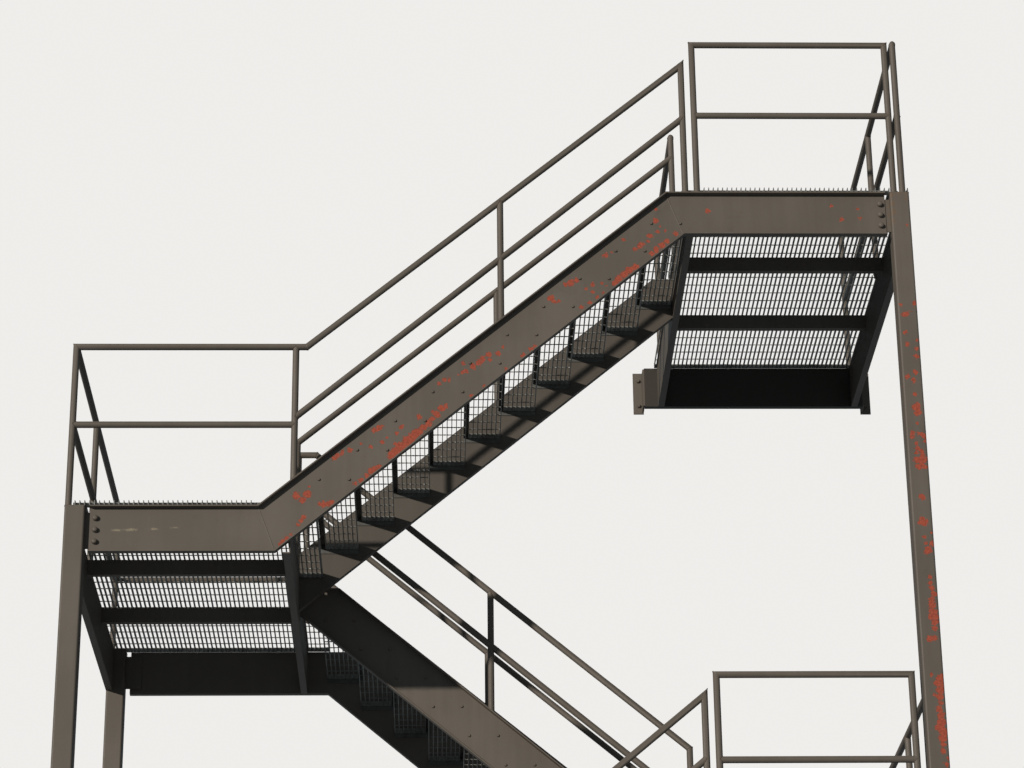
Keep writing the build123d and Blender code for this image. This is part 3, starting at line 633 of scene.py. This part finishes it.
def dull_zinc(name, tone_down=1.0):
    """Galvanised steel gone dull, with dirt in patches, a trace of rust and a painted highlight
    on faces that look up; a factor below one darkens it all as painted shade.
    """
    colours = bpy.context.scene.finish_colours
    # A factor below one darkens the whole zinc: painted shade.
    zinc = [c * tone_down for c in colours.zinc]
    f = Finish(name)
    spangle = f.add("ShaderNodeTexVoronoi", {"Vector": f.place, "Scale": 90.0}).outputs["Color"]
    tone = f.add("ShaderNodeSeparateColor", {0: spangle}).outputs[0]
    stain, fine = f.noise(7.0, 6.0, 0.7), f.noise(130.0, 3.0, 0.6)
    colour = f.blend(f.ramp(tone, 0.0, 1.0), [c * 0.8 for c in zinc], zinc)
    dirt = f.times(f.ramp(stain, 0.42, 0.72), 0.75)
    colour = f.blend(dirt, colour, [c * 0.62 for c in colours.paint])
    # Faces that look up are lightened towards pale zinc where clean: a painted highlight.
    top = f.times(f.ramp(f.faced("Z"), 0.6, 1.0), f.ramp(stain, 0.7, 0.3, 0.1, 0.45))
    colour = f.blend(top, colour, (0.46, 0.45, 0.42))
    spots = f.ramp(f.noise(30.0, 4.0, 0.7), 0.66, 0.72)
    colour = f.blend(f.times(spots, 0.55), colour, colours.rust)
    roughness = f.plus(f.ramp(fine, 0.3, 0.7, 0.42, 0.60), f.times(dirt, 0.25))
    return f.close(colour, roughness, f.plus(fine, f.times(stain, 1.5)), 0.0004, metallic=0.35)


def finish(name, make=weathered_paint, **settings):
    """The finish of that name, made once."""
    return bpy.data.materials.get(name) or make(name, **settings)


# Operators, one for each group of pieces

class STAIR_OT_steelwork(bpy.types.Operator):
    """Paint the stringers, landing beams and wall brackets"""
    bl_idname = "stair.steelwork"
    bl_label = "Stringers and beams"

    def execute(self, context):
        for node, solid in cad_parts.items():
            if node == "flight_4_outer_stringer":
                paint = finish("paint_chipped", chips=CHIPS, scuffs=SCUFFS, flecks=0.1)
            # The inner stringers of flights 2 and 4 are darkened all over to a darker tone.
            elif node in ("flight_2_inner_stringer", "flight_4_inner_stringer"):
                paint = finish("paint_inner", soot=0.36)
            # Landing 4's rear beam is darkened all over: painted shade from the building beside
            # it.
            elif node == "landing_4_rear_beam":
                paint = finish("paint_sooty", flecks=0.1, soot=0.85)
            elif node.endswith("stringer"):
                paint = finish("paint_stringers", flecks=0.8)
            elif node.endswith(("frame", "beam", "brackets")):
                paint = finish("paint_beams", flecks=0.2)
            else:
                continue
            solid.data.materials.clear()
            solid.data.materials.append(paint)
        return {"FINISHED"}


class STAIR_OT_posts(bpy.types.Operator):
    """Square posts with rounded corners, welded caps and base plates, and shear tabs"""
    bl_idname = "stair.posts"
    bl_label = "Posts"

    def execute(self, context):
        p = places()
        half, corner = POST / 2, context.scene.stair_sizes.corner_radius
        reach, margin = 0.110, 0.035
        looks = ({"flecks": 0.1}, {}, {"flecks": 0.4, "chips": POST_CHIPS, "stains": STAINS})
        for node, look in zip(POSTS, looks):
            side, floors = (1, (1, 3)) if "left" in node else (-1, (2, 4))
            x, y = post_middle(p, node)
            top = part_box(node)[1][2]
            foot = rounded_square(half + 0.002, corner, 3) + (x, y)
            foot = np.column_stack([foot, np.full(len(foot), BASE_PLATE + 0.002)])
            edge = x + side * half
            tab = p.web_rear - TAB if "rear" in node else p.web_front
            tabs = [((edge, tab, steel(floor) - CHANNEL + margin),
                     (edge + side * reach, tab + TAB, steel(floor) - margin)) for floor in floors]
            parts = [raised(rounded_square(half, corner), x, y, BASE_PLATE, top - CAP),
                     raised(rounded_square(half, 0.004), x, y, top - CAP, top),
                     raised(rounded_square(0.140, 0.008), x, y, 0.0, BASE_PLATE),
                     beads([foot], p.bead * 1.6), boxes(tabs)]
            make_piece(node + "_steel", parts, finish("paint_" + node, **look),
                       [node], 30)
        return {"FINISHED"}


class Guard:
    """Pipes and welds of one guard, collected before they become a mesh."""

    def __init__(self, p):
        self.radius, self.bead = p.radius, p.bead
        self.parts, self.curves = [], []

    def pipe(self, points, ends=(None, None)):
        """A pipe along points in an upright plane, with beads round its mitres."""
        points = np.asarray(points, float)
        flat = (0, 1, 0) if np.ptp(points[:, 1]) == 0 else (1, 0, 0)
        self.parts.append(swept(circle(self.radius, 28), points, flat, ends))
        for before, here, after in zip(points, points[1:], points[2:]):
            a, b = here - before, after - here
            a, b = a / np.linalg.norm(a), b / np.linalg.norm(b)
            self.curves.append(ring_round(here, a, a + b, self.radius - 0.0008))

    def joint(self, centre, direction, post):
        """A bead where a pipe that leaves along direction meets the pipe along post."""
        self.curves.append(saddle(centre, direction, post, self.radius))

    def foot(self, centre, normal=UP):
        """A bead round the foot of an upright."""
        self.curves.append(ring_round(centre, UP, normal, self.radius + 0.001))

    def upright(self, foot, top, rail, normal=UP):
        """An upright from a plane with the given normal to the rail along rail."""
        self.pipe([foot, top], (normal, None))
        self.foot(foot, normal)
        self.joint(top, DOWN, rail)

    def bar(self, start, end):
        """A straight rail between two uprights."""
        start, end = np.array(start), np.array(end)
        self.pipe([start, end])
        self.joint(start, end - start, UP)
        self.joint(end, start - end, UP)


def running_guard(p, flight, y, corner_x, level, first_x, middle_x, foot_x, foot_level=None):
    """Guard along a landing's long side that runs on beside the stair.

    It ends on the stringer's slope where it has no foot_level.
    """
    sizes = bpy.context.scene.stair_sizes
    guard, rail_height = Guard(p), sizes.stair_rail_height
    over, rake, normal = over_stringer(p, flight, y)
    rail = level + p.rail_rise
    mid = rail - sizes.mid_rail_drop
    climbs = foot_x > first_x
    reach = abs(rail - over(first_x, rail_height)[2]) / p.slope
    elbow_x = first_x + (reach if climbs else -reach)
    end, end_normal = (over(foot_x), normal) if foot_level is None else (
        (foot_x, y, foot_level), UP)
    guard.pipe([(corner_x, y, level), (corner_x, y, rail), (elbow_x, y, rail),
                over(foot_x, rail_height), end], (None, end_normal))
    guard.foot((corner_x, y, level))
    guard.foot(end, end_normal)
    guard.upright(over(middle_x), over(middle_x, rail_height), rake, normal)
    if climbs and over(first_x)[2] > level + sizes.pipe_diameter:
        guard.upright(over(first_x), (first_x, y, rail), ALONG, normal)
    else:
        guard.upright((first_x, y, level), (first_x, y, rail), ALONG)
    guard.bar((corner_x, y, mid), (first_x, y, mid))
    low, high = (first_x, foot_x) if climbs else (foot_x, first_x)
    guard.bar(over(low, sizes.stair_mid_low), over(high, sizes.stair_mid_height))
    return guard


def inner_guard(p, flight, y, low_x, low_level, middle_x, high_x, high_level):
    """Guard between the lanes.

    It starts on the stringer's slope where it has no low_level, and without high_level it
    meets a landing guard instead of turning level and down.
    """
    sizes = bpy.context.scene.stair_sizes
    guard, rail_height = Guard(p), sizes.inner_rail_height
    over, rake, normal = over_stringer(p, flight, y)
    along = 1 if high_x > low_x else -1
    foot, foot_normal = (over(low_x), normal) if low_level is None else (
        (low_x, y, low_level), UP)
    route = [foot, over(low_x, rail_height)]
    if high_level is None:
        route.append(over(high_x, rail_height))
        guard.joint(route[-1], -along * rake, UP)
    else:
        turn = over(high_x - along * 0.120, rail_height)
        route += [turn, (high_x, y, turn[2]), (high_x, y, high_level)]
        guard.foot(route[-1])
    guard.pipe(route, (foot_normal, None))
    guard.foot(foot, foot_normal)
    guard.upright(over(middle_x), over(middle_x, rail_height), rake, normal)
    guard.bar(over(low_x, sizes.stair_mid_height), over(high_x, sizes.stair_mid_height))
    return guard


def landing_guard(p, floor, start, end, ends_on, middle_y):
    """Guard panel between two plan points, each with an upright unless it ends on another."""
    guard = Guard(p)
    level = steel(floor)
    top = level + (p.top_rail_rise if floor == 4 else p.rail_rise)
    mid = top - bpy.context.scene.stair_sizes.mid_rail_drop
    feet = [[] if on else [(*point, level)] for point, on in zip((start, end), ends_on)]
    for foot in feet[0] + feet[1]:
        guard.foot(foot)
    guard.pipe([*feet[0], (*start, top), (*end, top), *feet[1]])
    guard.bar((*start, mid), (*end, mid))
    if middle_y is not None:
        guard.upright((start[0], middle_y, level), (start[0], middle_y, top), (0, 1, 0))
    return guard


class STAIR_OT_guards(bpy.types.Operator):
    """Pipe guards of the stairs and landings, mitred, with a weld bead at every joint"""
    bl_idname = "stair.guards"
    bl_label = "Guards"

    def execute(self, context):
        p = places()
        guards = {}
        for flight, corner_x in ((2, p.left_corner), (4, p.left_guard)):
            low, high = steel(flight - 1), steel(flight)
            guards[f"flight_{flight}_outer"] = running_guard(
                p, flight, p.rail_front, corner_x, low, p.start_post, p.middle_x, p.right_face,
                high)
            guards[f"flight_{flight}_inner"] = inner_guard(
                p, flight, p.rail_inner_1, p.left_newel, low, p.middle_x, p.right_newel,
                None if flight == 4 else high)
        elbow = (p.rear_knee_high
                 - (p.rail_rise - context.scene.stair_sizes.stair_rail_height) / p.slope)
        for flight, low_x, corner_x in ((1, p.ground_newel, p.left_corner),
                                        (3, p.right_newel, p.left_guard)):
            guards[f"flight_{flight}_wall"] = running_guard(
                p, flight, p.rail_rear, corner_x, steel(flight), elbow, (elbow + low_x) / 2,
                low_x)
            guards[f"flight_{flight}_inner"] = inner_guard(
                p, flight, p.rail_inner_2, low_x, None if flight == 1 else steel(flight - 1),
                (low_x + p.left_newel) / 2, p.left_newel, steel(flight))
        left, right, newel = p.left_guard, p.right_guard, p.right_newel
        front, rear, after_post = p.rail_front, p.rail_rear, p.front_toe + POST
        both, neither = (True, True), (False, False)
        for floor, where, start, end, ends_on, middle_y in (
                (1, "side", (left, after_post), (left, p.rear_toe - POST), both, p.middle_y),
                (3, "side", (left, front + p.radius), (left, rear - p.radius), both, p.middle_y),
                (2, "front", (p.upper_post, front), (p.right_corner, front), neither, None),
                (2, "side", (right, after_post), (right, rear), (True, False), p.middle_y),
                (4, "front", (p.upper_post, front), (p.right_cap, front), neither, None),
                (4, "side", (right, front), (right, rear), neither, p.middle_y),
                (4, "left", (newel, p.rail_inner_1), (newel, rear), neither, None)):
            guards[f"landing_{floor}_{where}"] = landing_guard(
                p, floor, start, end, ends_on, middle_y)
        paint = finish("paint_guards", flecks=0.5)
        for name, guard in guards.items():
            make_piece(name + "_guard_pipes", guard.parts + [beads(guard.curves, p.bead)], paint,
                       [name + "_guard"], 40)
        return {"FINISHED"}


def square_hole(x, y, size):
    """Spans of a square hole along X and along Y."""
    return (x - size / 2, x + size / 2), (y - size / 2, y + size / 2)


def clear_spans(start, end, cuts):
    """Stretches of start to end that are left when the cuts are taken out."""
    spans = [(start, end)]
    for low, high in cuts:
        spans = [piece for a, b in spans for piece in ((a, min(b, low)), (max(a, high), b))
                 if piece[1] - piece[0] > 0.002]
    return spans


def bar_field(x0, x1, y0, y1, first_bar, top, holes=(), banded=True):
    """Bearing bars along Y, and if banded their end bars and twisted rods along X."""
    sizes = bpy.context.scene.stair_sizes
    t, pitch, low = sizes.bar_thickness, sizes.bar_pitch, top - sizes.grating_depth
    rod_drop, rod_margin = 0.0035, 0.02

    def clear(start, end, axis, near, far):
        """Stretches along an axis that miss the holes between near and far beside it."""
        return clear_spans(start, end, [hole[axis] for hole in holes
                                        if hole[1 - axis][0] < far and hole[1 - axis][1] > near])
    bars = [first_bar + pitch * n
            for n in range(math.ceil((x0 - first_bar) / pitch - 0.01),
                           math.floor((x1 - t - first_bar) / pitch + 0.01) + 1)]
    if banded:
        bars = [x0] + [x for x in bars if x0 + t < x < x1 - 2 * t] + [x1 - t]
    pairs = [((x, a, low), (x + t, b, top)) for x in bars for a, b in clear(y0, y1, 1, x, x + t)]
    rods = []
    if banded:
        pairs += [((a, y, low), (b, y + t, top))
                  for y in (y0, y1 - t) for a, b in clear(x0, x1, 0, y, y + t)]
        rods = [twisted_rod(a, b, y, top - rod_drop, sizes.rod_size, pitch)
                for y in np.arange(y0 + sizes.rod_pitch * 0.35, y1 - rod_margin, sizes.rod_pitch)
                for a, b in clear(x0 + t / 2, x1 - t / 2, 0, y, y)]
    return [boxes(pairs)] + rods


class STAIR_OT_gratings(bpy.types.Operator):
    """Landing gratings with every bearing bar, twisted cross rods and room for the posts"""
    bl_idname = "stair.gratings"
    bl_label = "Landing gratings"

    def execute(self, context):
        p = places()
        sizes = context.scene.stair_sizes
        gap, joint, notch, nosing_lap = 0.005, 0.001, 0.054, 0.017
        start = p.knee_low + sizes.first_tread - sizes.tread_width / 2
        for floor in FLOORS:
            left, rises = floor % 2 == 1, floor < 3
            if left:
                outer, face, newel, guard = p.left_side, p.left_face, p.left_newel, p.left_guard
                lip_end = start + nosing_lap
                corner = p.left_corner if rises else p.left_guard
                strip = (outer, p.knee_low - CORNER_INSET)
            else:
                outer, face, newel, guard = (p.right_side, p.right_face, p.right_newel,
                                             p.right_guard)
                lip_end = start + sizes.going * (sizes.risers - 1)
                corner = p.right_corner if rises else p.right_cap
                strip = (p.upper_post + notch / 2, outer)
            x0, x1 = sorted((face, outer))
            lip = sorted((face, lip_end))
            holes = [square_hole(x, y, notch) for x, y in (
                (newel, p.rail_inner_1), (newel, p.rail_inner_2), (guard, p.middle_y),
                (corner, p.rail_front), (corner if left or rises else guard, p.rail_front))]
            if rises:
                holes += [square_hole(*post_middle(p, node), POST + 2 * gap) for node in POSTS
                          if ("left" in node) == left]
            top = sizes.rise * sizes.risers * floor
            parts = bar_field(x0, x1, p.web_front, p.web_rear - joint, x0, top, holes)
            parts += bar_field(*strip, p.front_toe + gap, p.web_front, x0, top, holes, False)
            for y0, y1 in p.lanes:
                parts += bar_field(*lip, y0 + gap, y1 - gap, x0, top, holes)
            make_piece(f"landing_{floor}_grating_bars", parts, finish("dull_zinc", dull_zinc),
                       [f"landing_{floor}_grating"])
        return {"FINISHED"}


class STAIR_OT_treads(bpy.types.Operator):
    """Grating treads with carrier plates and a ribbed nosing"""
    bl_idname = "stair.treads"
    bl_label = "Treads"

    def execute(self, context):
        p = places()
        sizes = context.scene.stair_sizes
        half, t, depth = sizes.tread_width / 2, sizes.bar_thickness, sizes.grating_depth
        plate, carrier, rib, sunk = 0.006, 0.064, 0.0012, 0.0012
        spaces, ribs = 7, 6
        for flight in FLIGHTS:
            bars, pairs = [], []
            climb, _ = flight_start(p, flight)
            y0, y1 = p.lanes[flight % 2]
            y2, y3 = y0 + plate, y1 - plate
            for x, top in zip(*tread_places(p, flight)):
                back, nose = x + climb * half, x - climb * half
                inner = back - climb * (spaces * sizes.bar_pitch + t)
                a, b = sorted((back, inner))
                bars += bar_field(a, b, y2, y3, a, top)
                pairs += [((back, y, top - carrier), (nose, y + plate, top)) for y in (y0, y3)]
                pairs.append(((inner, y2, top - t), (nose, y3, top - sunk)))
                pairs.append(((nose, y2, top - depth), (nose + climb * t, y3, top - sunk)))
                pairs += [((middle - rib, y2, top - 0.002), (middle + rib, y3, top))
                          for middle in np.linspace(inner, nose + climb * t, ribs + 1)[:-1]]
            node = f"flight_{flight}_treads"
            make_piece(f"flight_{flight}_tread_bars", bars, finish("dull_zinc", dull_zinc),
                       [node])
            # The carrier plates, nosing and ribs take zinc darkened to 0.45: painted shade, as
            # they sit in the treads' own shade.
            make_piece(f"flight_{flight}_tread_plates", [boxes(pairs)],
                       finish("zinc_in_painted_shade", dull_zinc, tone_down=0.45), [node])
        return {"FINISHED"}


def tread_bolts(p):
    """Two bolts through either stringer for each tread."""
    for flight in FLIGHTS:
        x, top = tread_places(p, flight)
        front, rear = p.lanes[flight % 2]
        for shift in (-0.094, 0.094):
            for face, way in ((front - WEB, OUT), (rear + WEB, BACK)):
                centres = np.column_stack([x + shift, np.full(len(x), face), top - 0.048])
                yield bolt_heads(centres, way, across=0.017, height=0.009)


def fascia_bolts(p):
    """Three button heads at the outer end of each landing's fascia."""
    faces = ((p.web_front - WEB, OUT), (p.web_rear + WEB, BACK))
    for floor in FLOORS:
        x = p.left_end + 0.034 if floor % 2 else p.right_end - 0.034
        for face, way in faces if floor % 2 else faces[:1]:
            rows = [(x, face, steel(floor) - drop) for drop in (0.075, 0.1525, 0.230)]
            yield domed_heads(rows, way, radius=0.018, height=0.024)


def knee_seams(p):
    """A weld seam down the mitre of every knee, which leans by half the stair's angle."""
    margin, lean = 0.008, math.tan(math.atan(p.slope) / 2)
    for flight in FLIGHTS:
        climb, knee = flight_start(p, flight)
        y = p.web_rear + WEB - 0.001 if flight % 2 else p.web_front - WEB + 0.001
        high_knee = p.rear_knee_high if flight % 2 else p.knee_high
        for x, floor in ((knee, flight - 1), (high_knee, flight)):
            if floor:
                route = [(x + climb * lean * drop, y, steel(floor) - drop)
                         for drop in (margin, CHANNEL - margin)]
                yield swept(circle(0.0038, 8), route, (0, 1, 0))


def base_anchors(p):
    """Four nuts with their rods on each base plate."""
    for node in POSTS:
        x, y = post_middle(p, node)
        for a, b in itertools.product((-0.100, 0.100), repeat=2):
            yield bolt_heads((x + a, y + b, BASE_PLATE), UP, across=0.030, height=0.020,
                             washer=1.25)
            yield raised(circle(0.010, 12), x + a, y + b, 0.001, 0.056)


def wall_anchors():
    """Two bolts on each wall bracket's plate."""
    for node in ("landing_2_wall_brackets", "landing_4_wall_brackets"):
        low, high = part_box(node)
        for x in (low[0] + 0.0375, high[0] - 0.0375):
            rows = [(x, high[1] - 0.012, (low[2] + high[2]) / 2 + shift)
                    for shift in (-0.100, 0.100)]
            yield bolt_heads(rows, OUT, across=0.024, height=0.017, washer=1.5)


class STAIR_OT_fasteners(bpy.types.Operator):
    """Bolts of the treads, fascias, bases and wall brackets, and the welds at the knees"""
    bl_idname = "stair.fasteners"
    bl_label = "Bolts and seams"

    def execute(self, context):
        p = places()
        paint = finish("paint_bolts", flecks=0.0, rusty=0.8)
        seam = finish("paint_seams", rusty=0.6)
        rusted = finish("paint_anchors", rusty=1.0)
        make_piece("tread_bolts", tread_bolts(p), paint)
        make_piece("fascia_bolts", fascia_bolts(p), paint, smooth=50)
        make_piece("knee_seams", knee_seams(p), seam, smooth=40)
        make_piece("anchor_bolts", base_anchors(p), rusted)
        make_piece("wall_anchors", wall_anchors(), rusted)
        return {"FINISHED"}


# Stage

SUN_TRAVEL, SUN_COLOUR = np.array([0.765, 1.0, -0.251]), (1.0, 0.955, 0.865)
SKY_COLOUR, BACKDROP = (0.76, 0.90, 1.0, 1.0), (0.86, 0.85, 0.83, 1.0)


def axes_at(x_axis, y_axis, z_axis, place=(0, 0, 0)):
    """Matrix with the given axes as columns and its origin at place."""
    matrix = np.eye(4)
    matrix[:3] = np.column_stack([x_axis, y_axis, z_axis, place])
    return Matrix(matrix.tolist())


def studio_floor(colours):
    """A plain pale floor that throws no light back on the steel."""
    mesh = bpy.data.meshes.new("studio_floor")
    points, faces = boxes(((-9.0, -9.0, -0.05), (9.0, 7.5, 0.0)))
    mesh.from_pydata(points.tolist(), [], faces)
    f = Finish("studio_floor")
    tone = f.blend(f.ramp(f.noise(0.8), 0.3, 0.7), [c * 0.97 for c in colours.floor],
                   colours.floor)
    mesh.materials.append(f.close(tone, f.ramp(f.noise(40.0), 0.3, 0.7, 0.75, 0.85),
                                  f.noise(300.0), 0.0001))
    floor = new_object("studio_floor", mesh)
    floor.visible_diffuse = False


def studio_world(strength):
    """Even light all round, and a plain backdrop for what the camera sees."""
    world = bpy.data.worlds.new("studio")
    bpy.context.scene.world = world
    nodes = Nodes(world)
    rays = nodes.add("ShaderNodeLightPath").outputs
    seen = nodes.add("ShaderNodeMath", {0: rays["Is Camera Ray"], 1: rays["Is Transmission Ray"]},
                     operation="MAXIMUM").outputs[0]
    light = nodes.add("ShaderNodeBackground", {"Color": SKY_COLOUR, "Strength": strength})
    shown = nodes.add("ShaderNodeBackground", {"Color": BACKDROP})
    mix = nodes.add("ShaderNodeMixShader", {0: seen, 1: light.outputs[0], 2: shown.outputs[0]})
    nodes.add("ShaderNodeOutputWorld", {0: mix.outputs[0]})


def key_light(strength):
    """The sun of the photograph, a little softened."""
    key = bpy.data.lights.new("key", "SUN")
    key.energy, key.angle, key.color = strength, math.radians(1.2), SUN_COLOUR
    z_axis = -SUN_TRAVEL / np.linalg.norm(SUN_TRAVEL)
    x_axis = np.cross(UP, z_axis)
    x_axis /= np.linalg.norm(x_axis)
    new_object("key", key).matrix_world = axes_at(x_axis, np.cross(z_axis, x_axis), z_axis)


def photo_camera(stage):
    """The photograph's camera: it looks ahead, and its right and up axes are rolled."""
    camera = new_object("camera", bpy.data.cameras.new("camera"))
    camera.data.lens = stage.camera_lens
    camera.data.sensor_width = 36.0
    camera.data.clip_end = 200.0
    pitch, turn, roll = stage.camera_pitch, stage.camera_turn, stage.camera_roll
    ahead = np.array([math.sin(turn) * math.cos(pitch), math.cos(turn) * math.cos(pitch),
                      math.sin(pitch)])
    right = np.array([math.cos(turn), -math.sin(turn), 0.0])
    up = np.cross(right, ahead)
    camera.matrix_world = axes_at(math.cos(roll) * right + math.sin(roll) * up,
                                  math.cos(roll) * up - math.sin(roll) * right, -ahead,
                                  stage.camera_place)
    bpy.context.scene.camera = camera


class STAIR_OT_stage(bpy.types.Operator):
    """Pale floor, soft light and the photograph's camera"""
    bl_idname = "stair.stage"
    bl_label = "Stage"

    def execute(self, context):
        stage = context.scene.stage_settings
        studio_floor(context.scene.finish_colours)
        studio_world(stage.sky_strength)
        key_light(stage.key_strength)
        photo_camera(stage)
        context.scene.view_settings.view_transform = "Standard"
        return {"FINISHED"}


# Panel and registration

OPERATORS = (STAIR_OT_steelwork, STAIR_OT_posts, STAIR_OT_guards, STAIR_OT_gratings,
             STAIR_OT_treads, STAIR_OT_fasteners, STAIR_OT_stage)
SETTINGS = {"stair_sizes": StairSizes, "finish_colours": FinishColours,
            "stage_settings": StageSettings}


class STAIR_PT_panel(bpy.types.Panel):
    """Lists the tower's sizes, colours and operators"""
    bl_idname = "STAIR_PT_panel"
    bl_label = "Stair Tower"
    bl_space_type = "VIEW_3D"
    bl_region_type = "UI"
    bl_category = "Stair Tower"

    def draw(self, context):
        for operator in OPERATORS:
            self.layout.operator(operator.bl_idname)
        for name, group in SETTINGS.items():
            column = self.layout.box().column()
            for setting in group.__annotations__:
                column.prop(getattr(context.scene, name), setting)


CLASSES = (*SETTINGS.values(), *OPERATORS, STAIR_PT_panel)


def register():
    """Register the classes and hang the settings on the scene."""
    for item in CLASSES:
        bpy.utils.register_class(item)
    for name, group in SETTINGS.items():
        setattr(bpy.types.Scene, name, PointerProperty(type=group))


def unregister():
    """Take the settings and classes away again."""
    for name in SETTINGS:
        delattr(bpy.types.Scene, name)
    for item in reversed(CLASSES):
        bpy.utils.unregister_class(item)


def main():
    """Build every piece."""
    register()
    for operator in OPERATORS:
        group, name = operator.bl_idname.split(".")
        getattr(getattr(bpy.ops, group), name)()


if __name__ == "__main__":
    main()
